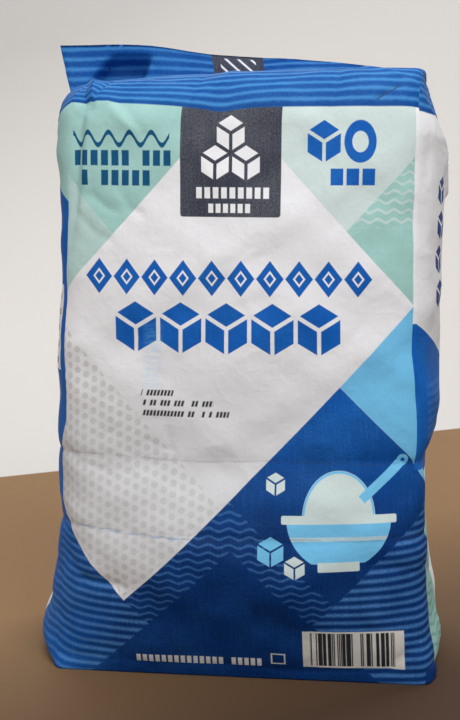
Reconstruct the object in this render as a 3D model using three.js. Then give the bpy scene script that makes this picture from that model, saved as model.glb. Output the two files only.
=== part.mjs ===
// A shut paper bag of granulated sugar, standing on its folded bottom.
// It is one solid out to the outside of the paper: four bulging walls, a rounded shoulder,
// a roof that folds in from all sides, and the rolled paper fin that stands on the roof.
// Millimetres, +Z up, the front faces -Y. The origin is under the middle of the bag's box.
import * as THREE from "three";

// Driving dimensions
const HALF_WIDTH = 92; // of the front panel at the table
const HALF_DEPTH = 46; // from the middle to the upright folds of the front and back panels
const SHOULDER_HEIGHT = 265; // the walls end here and roll over to the ridges
const RIDGE_HEIGHT = 291.7; // of the front ridge at its right end
const RIDGE_SETBACK = 30; // of both ridges from the middle of the roof
const ROOF_HEIGHT = 286; // of the valley where the fin rises
const FIN_THICKNESS = 2.6; // the four layers of paper in the fin
const FIN_LEFT = -92.7;
const FIN_RIGHT = 83;
const RIDGE_LEFT = -71; // the left end of the ridge has slumped
const RIDGE_RIGHT = 84;
const LEFT_SLUMP = 6.4; // how much lower the ridge is at its left end
const FIN_SLANT = 6; // how far the fin's left end leans out from its foot to its top
const RIGHT_RIDGE_BULGE = 1; // of the gusset between the two ridges' right ends
const LEFT_RIDGE_BULGE = 12; // and between their left ends
const GUSSET_SAG = 7; // how much lower the side panels' middle is at the shoulder
const RIDGE_CROWN = 1.9; // how much higher the middle of a ridge is than its ends

// Creases that run level round the bag: height, depth and half width
const CREASES = [
  { height: 110, depth: 1.8, width: 4 },
  { height: 74, depth: 1.3, width: 3.5 },
];

// Columns in each panel, and the steps of each stretch of rows
const FRONT_COLUMNS = 24;
const SIDE_COLUMNS = 12;
const WALL_ROW_STEP = 10.6;
const CREASE_ROW_STEPS = [-7, -3, 0, 3, 7];
const FOOT_ROWS = [0, 2.5, 6];
const SHOULDER_ROWS = 6;
const ROOF_ROWS = 3;
const FIN_ROWS = 4;

// A smooth curve through stations of [place, value], level beyond both ends.
function smooth(stations) {
  const last = stations.length - 1;
  const slopes = stations.map((_, i) => {
    const before = stations[Math.max(i - 1, 0)];
    const after = stations[Math.min(i + 1, last)];
    return (after[1] - before[1]) / (after[0] - before[0]);
  });
  return (place) => {
    if (place <= stations[0][0]) return stations[0][1];
    if (place >= stations[last][0]) return stations[last][1];
    const i = stations.findLastIndex(([start]) => start <= place);
    const span = stations[i + 1][0] - stations[i][0];
    const t = (place - stations[i][0]) / span;
    const keep = (1 + 2 * t) * (1 - t) ** 2;
    const leave = t * (1 - t) ** 2 * span * slopes[i];
    const arrive = t * t * (t - 1) * span * slopes[i + 1];
    return stations[i][1] * keep + stations[i + 1][1] * (1 - keep) + leave + arrive;
  };
}

const mix = THREE.MathUtils.lerp;

// The walls: how they change with height above the table
const cornerX = smooth([[0, HALF_WIDTH], [36, 90], [75, 88.5], [110, 87.5], [165, 84], [205, 83]]);
const frontBulge = smooth([[0, 0.5], [20, 8.5], [60, 19], [90, 15], [110, 9], [205, 9.5], [265, 5]]);
const backBulge = smooth([[0, 2], [20, 9], [60, 14], [110, 6], [205, 8], [265, 4]]);
const rightBulge = smooth([
  [0, 1], [8, 7], [26, 6], [60, 2.5], [105, 1.5], [120, 7], [142, 10], [240, 12.5], [265, 12],
]);
const leftBulge = smooth([
  [0, 2], [8, 12], [30, 9], [74, 4], [105, 5], [150, 8], [240, 6], [256, 10], [265, 8],
]);
const gussetSag = smooth([[150, 0], [SHOULDER_HEIGHT, GUSSET_SAG]]);
const cornerRadius = smooth([[0, 4], [60, 7], [SHOULDER_HEIGHT, 12]]);

// The fin's top edge, which falls away to the right
const finTop = smooth([[-93, 303.6], [-50, 303.4], [-17, 299], [30, 296.2], [65, 292.6], [FIN_RIGHT, 290]]);

function creaseDepth(height) {
  const depths = CREASES.map((c) => c.depth * Math.exp(-(((height - c.height) / c.width) ** 2)));
  return Math.max(...depths);
}

// A ring is a level slice round the bag. Its corners go front left, front right, back right,
// back left. Each panel between two corners has a bulge outwards and a rise of its middle.
function wallRing(height) {
  const dent = creaseDepth(height);
  const x = cornerX(height) - 0.6 * dent;
  const right = rightBulge(height) - 0.4 * dent;
  const left = leftBulge(height) - 0.4 * dent;
  return {
    corners: [
      [-x, -HALF_DEPTH, height],
      [x, -HALF_DEPTH, height],
      [x, HALF_DEPTH, height],
      [-x, HALF_DEPTH, height],
    ],
    bulges: [frontBulge(height) - dent, right, backBulge(height) - dent, left],
    rises: [0, -gussetSag(height), 0, -gussetSag(height)],
    radius: cornerRadius(height),
  };
}

// The shoulder is a quarter turn from the walls to the ridges.
function shoulderRing(turn) {
  const over = 1 - Math.cos((turn * Math.PI) / 2);
  const up = Math.sin((turn * Math.PI) / 2);
  const wall = wallRing(SHOULDER_HEIGHT);
  const rightHeight = mix(SHOULDER_HEIGHT, RIDGE_HEIGHT, up);
  const leftHeight = mix(SHOULDER_HEIGHT, RIDGE_HEIGHT - LEFT_SLUMP, up);
  const y = mix(HALF_DEPTH, RIDGE_SETBACK, over);
  const left = mix(wall.corners[0][0], RIDGE_LEFT, over);
  const right = mix(wall.corners[1][0], RIDGE_RIGHT, over);
  return {
    corners: [
      [left, -y, leftHeight],
      [right, -y, rightHeight],
      [right, y, rightHeight],
      [left, y, leftHeight],
    ],
    bulges: [
      mix(wall.bulges[0], 0, over),
      mix(wall.bulges[1], RIGHT_RIDGE_BULGE, up),
      mix(wall.bulges[2], 0, over),
      mix(wall.bulges[3], LEFT_RIDGE_BULGE, over),
    ],
    rises: [RIDGE_CROWN * up, -GUSSET_SAG, RIDGE_CROWN * up, -GUSSET_SAG],
    radius: mix(wall.radius, 5, over),
  };
}

// The roof dips from the ridges to the foot of the fin.
function roofRing(way) {
  const y = mix(RIDGE_SETBACK, FIN_THICKNESS / 2, way);
  const left = mix(RIDGE_LEFT, FIN_LEFT + FIN_SLANT, way);
  const right = mix(RIDGE_RIGHT, FIN_RIGHT - 1, way);
  const leftHeight = mix(RIDGE_HEIGHT - LEFT_SLUMP, ROOF_HEIGHT - LEFT_SLUMP, way);
  const rightHeight = mix(RIDGE_HEIGHT, ROOF_HEIGHT, way);
  const gusset = -GUSSET_SAG * (1 - way);
  return {
    corners: [
      [left, -y, leftHeight],
      [right, -y, rightHeight],
      [right, y, rightHeight],
      [left, y, leftHeight],
    ],
    bulges: [0, RIGHT_RIDGE_BULGE * (1 - way), 0, LEFT_RIDGE_BULGE * (1 - way)],
    rises: [RIDGE_CROWN, gusset, RIDGE_CROWN, gusset],
    radius: mix(5, FIN_THICKNESS / 4, way),
  };
}

// The fin rises from the roof to its own top edge, with a slight wave in it.
function finRing(way) {
  const foot = roofRing(1);
  const wave = 1.6 * way;
  return {
    corners: foot.corners.map(([x, y, z]) => [mix(x, x < 0 ? FIN_LEFT : FIN_RIGHT, way), y, z]),
    bulges: [0, 0, 0, 0],
    rises: foot.rises,
    radius: foot.radius,
    finish: (p) => {
      p.z = mix(p.z, finTop(p.x), way);
      p.y += wave * Math.sin(p.x / 24);
    },
  };
}

// A point on one panel of a ring, t of the way along it, before its corners are rounded.
function panelPoint(ring, panel, t) {
  const from = new THREE.Vector3(...ring.corners[panel]);
  const to = new THREE.Vector3(...ring.corners[(panel + 1) % 4]);
  const outward = new THREE.Vector3(to.y - from.y, from.x - to.x, 0).normalize();
  const arch = 1 - Math.abs(2 * t - 1) ** 2.4;
  const point = from.lerp(to, t).addScaledVector(outward, ring.bulges[panel] * arch);
  point.z += ring.rises[panel] * arch;
  return point;
}

// The same with the corners rounded: within the radius the point follows a curve that leaves
// one panel and joins the next.
function ringPoint(ring, panel, t) {
  const lengths = [0, 1, 2, 3].map((i) => {
    const [a, b] = [ring.corners[i], ring.corners[(i + 1) % 4]];
    return Math.hypot(b[0] - a[0], b[1] - a[1]);
  });
  const before = t * lengths[panel];
  const after = (1 - t) * lengths[panel];
  const near = Math.min(before, after);
  let point;
  if (near >= ring.radius) {
    point = panelPoint(ring, panel, t);
  } else {
    const corner = before < after ? panel : (panel + 1) % 4;
    const first = (corner + 3) % 4;
    const along = (ring.radius + (before < after ? before : -after)) / (2 * ring.radius);
    const start = panelPoint(ring, first, 1 - ring.radius / lengths[first]);
    const middle = new THREE.Vector3(...ring.corners[corner]);
    const end = panelPoint(ring, corner, ring.radius / lengths[corner]);
    point = new THREE.QuadraticBezierCurve3(start, middle, end).getPoint(along);
  }
  if (ring.finish) ring.finish(point);
  return point;
}

// Row heights up the walls: even steps, with extra rows at the creases and the foot
function wallHeights() {
  const heights = [...FOOT_ROWS];
  for (const crease of CREASES) {
    heights.push(...CREASE_ROW_STEPS.map((step) => crease.height + step));
  }
  const count = Math.round(SHOULDER_HEIGHT / WALL_ROW_STEP);
  for (let i = 1; i <= count; i += 1) {
    const height = (i * SHOULDER_HEIGHT) / count;
    if (heights.every((h) => Math.abs(h - height) > WALL_ROW_STEP / 2)) heights.push(height);
  }
  return heights.sort((a, b) => a - b);
}

function allRings() {
  const steps = (count) => Array.from({ length: count }, (_, i) => (i + 1) / count);
  return [
    ...wallHeights().map(wallRing),
    ...steps(SHOULDER_ROWS).map(shoulderRing),
    ...steps(ROOF_ROWS).map(roofRing),
    ...steps(FIN_ROWS).map(finRing),
  ];
}

// The closed mesh: quads between the rings, and a ladder of quads across each end ring.
function bagGeometry() {
  const counts = [FRONT_COLUMNS, SIDE_COLUMNS, FRONT_COLUMNS, SIDE_COLUMNS];
  const around = counts.reduce((sum, count) => sum + count);
  const rings = allRings();
  const positions = [];
  for (const ring of rings) {
    counts.forEach((count, panel) => {
      for (let i = 0; i < count; i += 1) positions.push(...ringPoint(ring, panel, i / count));
    });
  }
  const faces = [];
  for (let row = 0; row < rings.length - 1; row += 1) {
    for (let i = 0; i < around; i += 1) {
      const a = row * around + i;
      const b = row * around + ((i + 1) % around);
      faces.push(a, b, b + around, a, b + around, a + around);
    }
  }
  for (const [start, up] of [[0, false], [(rings.length - 1) * around, true]]) {
    for (const [a, b, c] of capFaces()) {
      faces.push(...(up ? [start + a, start + b, start + c] : [start + a, start + c, start + b]));
    }
  }
  const geometry = new THREE.BufferGeometry();
  geometry.setAttribute("position", new THREE.Float32BufferAttribute(positions, 3));
  geometry.setIndex(faces);
  geometry.computeVertexNormals();
  return geometry;
}

// Faces across a ring: quads from front to back columns, and a fan at each side.
function capFaces() {
  const frontRight = FRONT_COLUMNS;
  const backRight = FRONT_COLUMNS + SIDE_COLUMNS;
  const backLeft = backRight + FRONT_COLUMNS;
  const faces = [];
  for (let i = 0; i < FRONT_COLUMNS; i += 1) {
    faces.push([i, i + 1, backLeft - i - 1], [i, backLeft - i - 1, backLeft - i]);
  }
  for (let i = 1; i < SIDE_COLUMNS; i += 1) {
    faces.push([frontRight, frontRight + i, frontRight + i + 1]);
    faces.push([0, backLeft + i - 1, backLeft + i]);
  }
  return faces;
}

const geometry = bagGeometry();
geometry.computeBoundingBox();
const middle = geometry.boundingBox.getCenter(new THREE.Vector3());
geometry.translate(-middle.x, -middle.y, 0);

const paper = new THREE.MeshStandardMaterial({ color: "#1f56a0", roughness: 0.55, metalness: 0 });
const bag = new THREE.Mesh(geometry, paper);
bag.name = "sugar_bag";

const part = new THREE.Group();
part.add(bag);
export default part;
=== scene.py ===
"""A full paper bag of sugar: printed paper, creases, folded top and pasted base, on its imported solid."""

import math

import bpy
import numpy as np
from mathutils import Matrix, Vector


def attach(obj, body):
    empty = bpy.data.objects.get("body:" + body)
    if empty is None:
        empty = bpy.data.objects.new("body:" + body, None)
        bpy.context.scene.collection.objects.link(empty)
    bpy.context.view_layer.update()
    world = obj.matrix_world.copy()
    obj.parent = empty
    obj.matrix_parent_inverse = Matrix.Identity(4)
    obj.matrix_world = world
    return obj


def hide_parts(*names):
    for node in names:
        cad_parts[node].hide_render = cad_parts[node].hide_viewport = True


bl_info = {
    "name": "Paper sugar bag",
    "version": (1, 0, 0),
    "blender": (4, 5, 0),
    "location": "View3D > Sidebar > Sugar bag",
    "description": "Builds a full, printed paper bag of sugar on its packed solid",
    "category": "Object",
}

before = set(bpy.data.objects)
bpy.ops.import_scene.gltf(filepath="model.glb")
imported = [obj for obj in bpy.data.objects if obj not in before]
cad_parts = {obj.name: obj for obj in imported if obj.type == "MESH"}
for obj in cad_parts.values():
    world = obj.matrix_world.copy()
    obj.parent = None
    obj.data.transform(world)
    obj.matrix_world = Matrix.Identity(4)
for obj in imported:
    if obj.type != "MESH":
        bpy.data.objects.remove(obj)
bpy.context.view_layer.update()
BAG = "sugar_bag"
MM_IN_A_METRE = 1000

# The bag's own sizes in mm, the same as the solid's
HALF_WIDTH = 92
HALF_DEPTH = 46
SHOULDER_HEIGHT = 265
RIDGE_HEIGHT = 291.7
RIDGE_SETBACK = 30
ROOF_HEIGHT = 286
FIN_THICKNESS = 2.6
FIN_LEFT = -92.7
FIN_RIGHT = 83
RIDGE_LEFT = -71
RIDGE_RIGHT = 84
LEFT_SLUMP = 6.4
FIN_SLANT = 6
RIGHT_RIDGE_BULGE = 1
LEFT_RIDGE_BULGE = 12
GUSSET_SAG = 7
FLAP_THICKNESS = 0.3
HEM_THICKNESS = 0.8
EAR_THICKNESS = 0.5
TURNED_UNDER = 14
RIDGE_CROWN = 1.9
# How far the design's middle lies from the middle of its box
MIDDLE = np.array([-2.52, -2.56, 0])

# How far up the paper the ridge, the roof and the fin end, and how wide its panels are, in mm
RIDGE_PAPER = 304
ROOF_PAPER = 334
FIN_PAPER = 352
FRONT_PAPER = 182
SIDE_PAPER = 92
GIRTH = 2 * (FRONT_PAPER + SIDE_PAPER)
PANEL_WIDTHS = (FRONT_PAPER, SIDE_PAPER, FRONT_PAPER, SIDE_PAPER)
PANEL_STARTS = (0, FRONT_PAPER, FRONT_PAPER + SIDE_PAPER, 2 * FRONT_PAPER + SIDE_PAPER)
FRONT, RIGHT, BACK, LEFT, BASE = range(5)
FRONT_COLUMNS = 108
SIDE_COLUMNS = 52
COLUMNS = (FRONT_COLUMNS, SIDE_COLUMNS, FRONT_COLUMNS, SIDE_COLUMNS)


def ink(red, green, blue):
    """A printed colour, given as it looks on a screen, as the light it reflects."""
    levels = (channel / 255 for channel in (red, green, blue))
    return tuple(x / 12.92 if x <= 0.04045 else ((x + 0.055) / 1.055) ** 2.4 for x in levels)


# Surface of the filled bag

def smooth(stations):
    """A smooth curve through (place, value) stations, level beyond both ends."""
    places, values = np.array(stations, float).T
    order = np.arange(len(places))
    before = np.maximum(order - 1, 0)
    after = np.minimum(order + 1, len(places) - 1)
    slopes = (values[after] - values[before]) / (places[after] - places[before])

    def curve(place):
        place = np.clip(place, places[0], places[-1])
        i = np.clip(np.searchsorted(places, place, side="right") - 1, 0, len(places) - 2)
        span = places[i + 1] - places[i]
        way = (place - places[i]) / span
        keep = (1 + 2 * way) * (1 - way) ** 2
        bend = way * (1 - way) ** 2 * slopes[i] + way * way * (way - 1) * slopes[i + 1]
        return values[i] * keep + values[i + 1] * (1 - keep) + bend * span

    return curve


def mix(start, end, way):
    return start + (end - start) * way


def unit(vectors):
    """The vectors at length 1."""
    return vectors / np.maximum(np.linalg.norm(vectors, axis=-1, keepdims=True), 1e-9)


corner_x = smooth([(0, HALF_WIDTH), (36, 90), (75, 88.5), (110, 87.5), (165, 84), (205, 83)])
front_bulge = smooth([(0, 0.5), (20, 8.5), (60, 19), (90, 15), (110, 9), (205, 9.5), (265, 5)])
back_bulge = smooth([(0, 2), (20, 9), (60, 14), (110, 6), (205, 8), (265, 4)])
right_bulge = smooth([
    (0, 1), (8, 7), (26, 6), (60, 2.5), (105, 1.5), (120, 7), (142, 10), (240, 12.5), (265, 12),
])
left_bulge = smooth([
    (0, 4), (6, 13.5), (18, 13), (30, 9), (74, 4), (105, 5), (150, 8), (240, 6), (256, 10), (265, 8),
])
gusset_sag = smooth([(150, 0), (SHOULDER_HEIGHT, GUSSET_SAG)])
corner_radius = smooth([(0, 4), (60, 7), (SHOULDER_HEIGHT, 12)])
# The front left corner is rounder than the others below the middle, and stands in a little there
left_corner_radius = smooth([(0, 6), (14, 15), (60, 17), (110, 14), (150, 9), (SHOULDER_HEIGHT, 12)])
left_corner_inset = smooth([(0, 0), (20, 1.5), (75, 2.2), (110, 2), (150, 0)])
fin_top = smooth([(-93, 303.6), (-50, 303.4), (-17, 299), (30, 296.2), (65, 292.6), (FIN_RIGHT, 290)])


def rings(paper):
    """The bag's level slices at these paper heights: corners, bulges, rises, corner radii and fin share."""
    height = np.minimum(paper, SHOULDER_HEIGHT)
    turn = np.clip((paper - SHOULDER_HEIGHT) / (RIDGE_PAPER - SHOULDER_HEIGHT), 0, 1) * np.pi / 2
    over = 1 - np.cos(turn)
    up = np.sin(turn)
    roof = np.clip((paper - RIDGE_PAPER) / (ROOF_PAPER - RIDGE_PAPER), 0, 1)
    fin = np.clip((paper - ROOF_PAPER) / (FIN_PAPER - ROOF_PAPER), 0, 1)
    x = corner_x(height)
    left = mix(mix(mix(-x, RIDGE_LEFT, over), FIN_LEFT + FIN_SLANT, roof), FIN_LEFT, fin)
    right = mix(mix(mix(x, RIDGE_RIGHT, over), FIN_RIGHT - 1, roof), FIN_RIGHT, fin)
    y = mix(mix(HALF_DEPTH, RIDGE_SETBACK, over), FIN_THICKNESS / 2, roof)
    z_right = mix(mix(height, RIDGE_HEIGHT, up), ROOF_HEIGHT, roof)
    z_left = mix(mix(height, RIDGE_HEIGHT - LEFT_SLUMP, up), ROOF_HEIGHT - LEFT_SLUMP, roof)
    corners = np.stack([
        np.stack([left, -y, z_left], -1),
        np.stack([right, -y, z_right], -1),
        np.stack([right, y, z_right], -1),
        np.stack([left, y, z_left], -1),
    ], 1)
    inset = left_corner_inset(height)
    corners[:, 0, 0] += inset
    bulges = np.stack([
        mix(front_bulge(height), 0, over),
        mix(right_bulge(height), RIGHT_RIDGE_BULGE, up) * (1 - roof),
        mix(back_bulge(height), 0, over),
        mix(left_bulge(height) + inset, LEFT_RIDGE_BULGE, over) * (1 - roof),
    ], -1)
    sag = -gusset_sag(height) * (1 - roof)
    crown = RIDGE_CROWN * up
    rises = np.stack([crown, sag, crown, sag], -1)
    radius = np.stack([left_corner_radius(height)] + [corner_radius(height)] * 3, -1)
    radius = mix(mix(radius, 5, over[:, None]), FIN_THICKNESS / 4, roof[:, None])
    return corners, bulges, rises, radius, fin


def panel_points(ring, panel, way):
    """Points on one panel of each ring, before the corners are rounded."""
    corners, bulges, rises, _, _ = ring
    start = corners[:, panel, None]
    end = corners[:, (panel + 1) % 4, None]
    run = (end - start)[..., :2]
    outward = unit(np.stack([run[..., 1], -run[..., 0]], -1))
    arch = 1 - np.abs(2 * way - 1) ** 2.4
    points = start + (end - start) * way[..., None]
    points[..., :2] += outward * (bulges[:, panel, None] * arch)[..., None]
    points[..., 2] += rises[:, panel, None] * arch
    return points


def panel_grid(paper, panel, way):
    """Points on one panel with the corners rounded: near a corner they follow a curve onto the next panel."""
    paper = np.asarray(paper, float)
    ring = rings(paper)
    corners, _, _, radius, fin = ring
    way = np.broadcast_to(way, (len(radius), len(way)))
    lengths = np.linalg.norm((np.roll(corners, -1, 1) - corners)[..., :2], axis=-1)
    if panel == FRONT:
        width = lengths[:, FRONT, None]
        inset = left_corner_inset(paper)[:, None]
        way = way - inset / width * (1 - way) * (1 - np.exp(-way * width / 10))
    points = panel_points(ring, panel, way)
    start_gap = way * lengths[:, panel, None]
    end_gap = (1 - way) * lengths[:, panel, None]
    for corner, gap, side in ((panel, start_gap, 1), ((panel + 1) % 4, end_gap, -1)):
        first = (corner + 3) % 4
        reach = radius[:, corner, None]
        start = panel_points(ring, first, 1 - reach / lengths[:, first, None])
        end = panel_points(ring, corner, reach / lengths[:, corner, None])
        along = np.clip((reach + side * gap) / (2 * reach), 0, 1)[..., None]
        middle = corners[:, corner, None]
        curve = start * (1 - along) ** 2 + middle * 2 * along * (1 - along) + end * along ** 2
        points = np.where((gap < reach)[..., None], curve, points)
    rise = fin[:, None]
    points[..., 2] = mix(points[..., 2], fin_top(points[..., 0]), rise)
    points[..., 1] += 1.6 * rise * np.sin(points[..., 0] / 24)
    return points - MIDDLE


# Creases and dents of the paper, in mm along the girth from the front's left edge and up the paper

def off_front_middle(along):
    """How far right of the front's middle a place along the girth is; the left side is below zero."""
    return (along + 100) % GIRTH - 100 - FRONT_PAPER / 2


def crease(relief, along, up, line, depth, width):
    """Adds one crease: a sharp valley, or with a negative depth a sharp ridge, along a line of points."""
    line = np.array(line, float)
    reach = 6 * width
    low = line.min(0) - reach
    high = line.max(0) + reach
    for turn in (-GIRTH, 0, GIRTH):
        near = (along + turn > low[0]) & (along + turn < high[0]) & (up > low[1]) & (up < high[1])
        if not near.any():
            continue
        place = np.stack([along[near] + turn, up[near]], -1)
        gap = np.full(len(place), 1e9)
        for start, end in zip(line[:-1], line[1:]):
            run = end - start
            way = np.clip((place - start) @ run / (run @ run), 0, 1)[:, None]
            gap = np.minimum(gap, np.linalg.norm(place - start - way * run, axis=1))
        relief[near] -= depth * np.exp(-gap / width)


# Each line's places are across from the front's middle and up the paper
FRONT_CREASES = (
    ([(-91, 304), (-84.5, 297.5), (-75.5, 279)], -2.0, 3.0),
    ([(-75.8, 300), (-75.6, 275)], 1.5, 1.0),
    ([(-75.8, 280), (-76, 274)], 1.6, 1.8),
    ([(-68, 279), (-60, 270), (-52, 264)], -1.2, 2.4),
    ([(-62, 279), (-54, 271), (-47, 262)], 0.9, 2.4),
    ([(-74, 234), (-69, 230), (-63, 227)], 1.2, 2.0),
    ([(-60, 238), (-55, 229), (-49, 226)], 1.0, 2.2),
    ([(-83, 226), (-72, 216), (-66, 214)], 1.0, 2.2),
    ([(-11, 300), (-10, 284), (-11, 262)], -1.1, 7.0),
    ([(-24, 298), (-25, 280), (-22, 266)], 0.8, 5.0),
    ([(46, 300), (48, 286), (46, 272)], 0.9, 4.0),
    ([(68, 277.5), (73, 281), (78.5, 284)], 0.9, 1.4),
    ([(-77, 48.5), (-68, 48.8), (-58, 47.5)], 2.4, 2.6),
    ([(-90, 58), (-83, 53), (-77, 48.5)], 1.0, 2.6),
    ([(-88, 20), (-74, 14), (-60, 12), (-48, 6)], 0.7, 2.6),
    ([(91, 56), (80, 60), (66, 62)], 1.0, 3.0),
    ([(91, 104), (84, 108), (78, 113)], 1.2, 2.6),
    ([(62, 118), (62.5, 108), (64, 101)], 0.8, 1.5),
    ([(-91, 112), (-80, 106), (-66, 104)], 0.9, 2.2),
    ([(-20, 214), (-19, 196), (-22, 178)], 0.35, 2.5),
    ([(-38, 150), (-36, 128), (-31, 112)], 0.5, 2.2),
    ([(88, 22), (76, 12), (70, 3)], 0.9, 2.0),
)
SIDE_CREASES = (
    ([(150, 304), (184, 282), (214, 262), (228, 238)], -1.2, 3.0),
    ([(274, 300), (250, 280), (232, 262), (228, 238)], -1.0, 3.0),
    ([(228, 236), (226, 205), (229, 170), (227, 130)], 1.2, 5.0),
    ([(186, 60), (200, 52), (216, 46), (236, 50)], 1.4, 3.0),
    ([(190, 72), (204, 40), (214, 14)], -1.1, 2.4),
    ([(548, 300), (524, 280), (506, 262), (502, 236)], -1.0, 3.0),
    ([(456, 300), (480, 280), (498, 262), (502, 236)], -1.0, 3.0),
    ([(502, 234), (504, 200), (500, 160), (503, 124)], 1.3, 5.0),
    ([(470, 58), (490, 50), (520, 52), (540, 46)], 1.2, 3.2),
)


def left_fold(along, up):
    """The long fold near the left front edge: the paper steps in to its left and comes out again slowly."""
    heights = [202, 220.5, 240.5, 259, 278.5, 297.5, 304]
    line = np.interp(up, heights, [-85.5, -81.5, -79, -77.5, -75.5, -84.5, -91])
    left = line - off_front_middle(along)
    profile = np.clip(left / 4.5, 0, 1) * np.exp(-np.clip(left - 4.5, 0, None) / 8)
    strength = np.clip((up - 200) / 45, 0, 1) * np.clip((312 - up) / 30, 0, 1)
    return -3.6 * strength * profile


def paper_relief(along, up, settings):
    """How far the paper stands out from the smooth bag, in mm, at each place."""
    relief = left_fold(along, up)
    for creases, start in ((FRONT_CREASES, (FRONT_PAPER / 2, 0)), (SIDE_CREASES, (0, 0))):
        for line, depth, width in creases:
            crease(relief, along, up, np.add(line, start), depth, width)
    turn = 2 * np.pi * along / GIRTH
    on_white = np.exp(-((off_front_middle(along) + 20) / 52) ** 4)
    levels = ((110.5, 1.5, 2.6, 0.75), (75, 1.2, 2.2, 0.4), (30, 0.35, 5.0, 0), (6.5, 0.9, 1.6, 0))
    for level, depth, width, smoother in levels:
        wander = 0.9 * np.sin(3 * turn + level) + 0.5 * np.sin(8 * turn)
        strength = (0.8 + 0.3 * np.sin(5 * turn + 0.2 * level)) * (1 - smoother * on_white)
        relief -= depth * strength * np.exp(-np.abs(up - level - wander) / width)
    chance = np.random.default_rng(settings.seed)
    for _ in range(settings.small_creases):
        start = chance.uniform((0, 6), (GIRTH, 318))
        heading = chance.uniform(0, np.pi)
        length = chance.uniform(8, 42)
        bend = chance.uniform(-0.6, 0.6)
        middle = start + length / 2 * np.array([math.cos(heading), math.sin(heading)])
        end = middle + length / 2 * np.array([math.cos(heading + bend), math.sin(heading + bend)])
        depth = chance.uniform(0.12, 0.5) * chance.choice((-1, 1))
        crease(relief, along, up, [start, middle, end], depth, chance.uniform(1.4, 4.0))
    for waves, height, size in ((4, 61, 0.5), (7, 43, 0.4), (11, 29, 0.28), (15, 21, 0.16)):
        phase = chance.uniform(0, 2 * np.pi, 2)
        relief += size * np.sin(waves * turn + phase[0]) * np.sin(2 * np.pi * up / height + phase[1])
    rest = np.clip(up / 9, 0, 1) * np.clip((FIN_PAPER - up) / 10, 0.12, 1)
    return relief * rest * settings.crease_depth


# Meshes

def place_in_scene(name, data):
    piece = bpy.data.objects.new(name, data)
    bpy.context.scene.collection.objects.link(piece)
    return piece


def new_piece(name, vertices, faces, paper_places=None, face_panels=None):
    """A piece from points in mm, its faces and, for each face corner, its place on the paper in mm."""
    mesh = bpy.data.meshes.new(name)
    mesh.from_pydata((np.asarray(vertices) / MM_IN_A_METRE).tolist(), [], faces)
    if paper_places is not None:
        layer = mesh.uv_layers.new(name="paper")
        flat = np.asarray(paper_places, float).reshape(-1, 2) / MM_IN_A_METRE
        layer.data.foreach_set("uv", flat.astype(np.float32).ravel())
    if face_panels is not None:
        panels = mesh.attributes.new("panel", "INT", "FACE")
        panels.data.foreach_set("value", np.asarray(face_panels, np.int32))
    mesh.polygons.foreach_set("use_smooth", np.ones(len(mesh.polygons), bool))
    mesh.update()
    return place_in_scene(name, mesh)


def cells(grid):
    """The four corners of each cell of a grid, taken round the cell."""
    corners = np.stack([grid[:-1, :-1], grid[:-1, 1:], grid[1:, 1:], grid[1:, :-1]], 2)
    return corners.reshape(-1, *corners.shape[2:])


def grid_faces(rows, columns):
    """Quads of a grid whose points are numbered row by row."""
    return cells(np.arange(rows * columns).reshape(rows, columns)).tolist()


def on_paper(across, up):
    """Places on the paper: a grid from how far across and how far up each is."""
    return np.stack(np.broadcast_arrays(across, up), -1)


def outward_normals(points):
    """Normals of a closed ring grid of points, facing out of the bag."""
    along = np.roll(points, -1, 1) - np.roll(points, 1, 1)
    return unit(np.cross(along, np.gradient(points, axis=0)))


def paper_rows():
    """How far up the paper each ring of points is, closer where the paper turns."""
    stretches = ((0, 8, 8), (8, 262, 174), (262, RIDGE_PAPER, 36), (RIDGE_PAPER, ROOF_PAPER, 16))
    rows = [np.linspace(low, high, count, endpoint=False) for low, high, count in stretches]
    return np.concatenate(rows + [np.linspace(ROOF_PAPER, FIN_PAPER, 16)])


def fin_dents(points, up):
    """Pushes the crumpled left stretch of the standing fin back at its foot and leans its folds."""
    x = points[..., 0] + MIDDLE[0]
    share = np.clip((up - (ROOF_PAPER - 10)) / 10, 0, 1)
    height = np.clip((up - ROOF_PAPER) / (FIN_PAPER - ROOF_PAPER), 0, 1)
    hollow = np.clip((x + 81.7 - 19 * height) / 2.5, 0, 1) * np.clip((9 * height - 53 - x) / 3, 0, 1)
    push = 11 * hollow * share * np.clip((0.8 - height) / 0.3, 0, 1)
    flat_end = -1.6 * np.clip((-76 - x) / 6, 0, 1) * share * (1 - height)
    lean = 2.6 * np.clip((x + 53) / 8, 0, 1) * np.clip((20 - x) / 40, 0, 1) * share * height
    points[..., 1] += push + flat_end + lean
    return points


def body_points(rows, settings):
    """Points of the creased bag, one ring a row."""
    ways = [np.arange(count) / count for count in COLUMNS]
    points = np.concatenate([panel_grid(rows, panel, way) for panel, way in enumerate(ways)], 1)
    along = [start + width * way for start, width, way in zip(PANEL_STARTS, PANEL_WIDTHS, ways)]
    girth, up = np.broadcast_arrays(np.concatenate(along), rows[:, None])
    points = points + outward_normals(points) * paper_relief(girth, up, settings)[..., None]
    points = fin_dents(points, up)
    points[..., 2] = np.maximum(points[..., 2], 0)
    return points


def cap(front, right, back, left):
    """Points inside a rim of four rows of points, blended from its four sides."""
    across = np.linspace(0, 1, len(front))[None, :, None]
    deep = np.linspace(0, 1, len(right))[:, None, None]
    ruled = front[None] * (1 - deep) + back[None] * deep
    crossed = left[:, None] * (1 - across) + right[:, None] * across
    corners = (
        front[0] * (1 - across) * (1 - deep) + front[-1] * across * (1 - deep)
        + back[0] * (1 - across) * deep + back[-1] * across * deep
    )
    return ruled + crossed - corners


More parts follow.
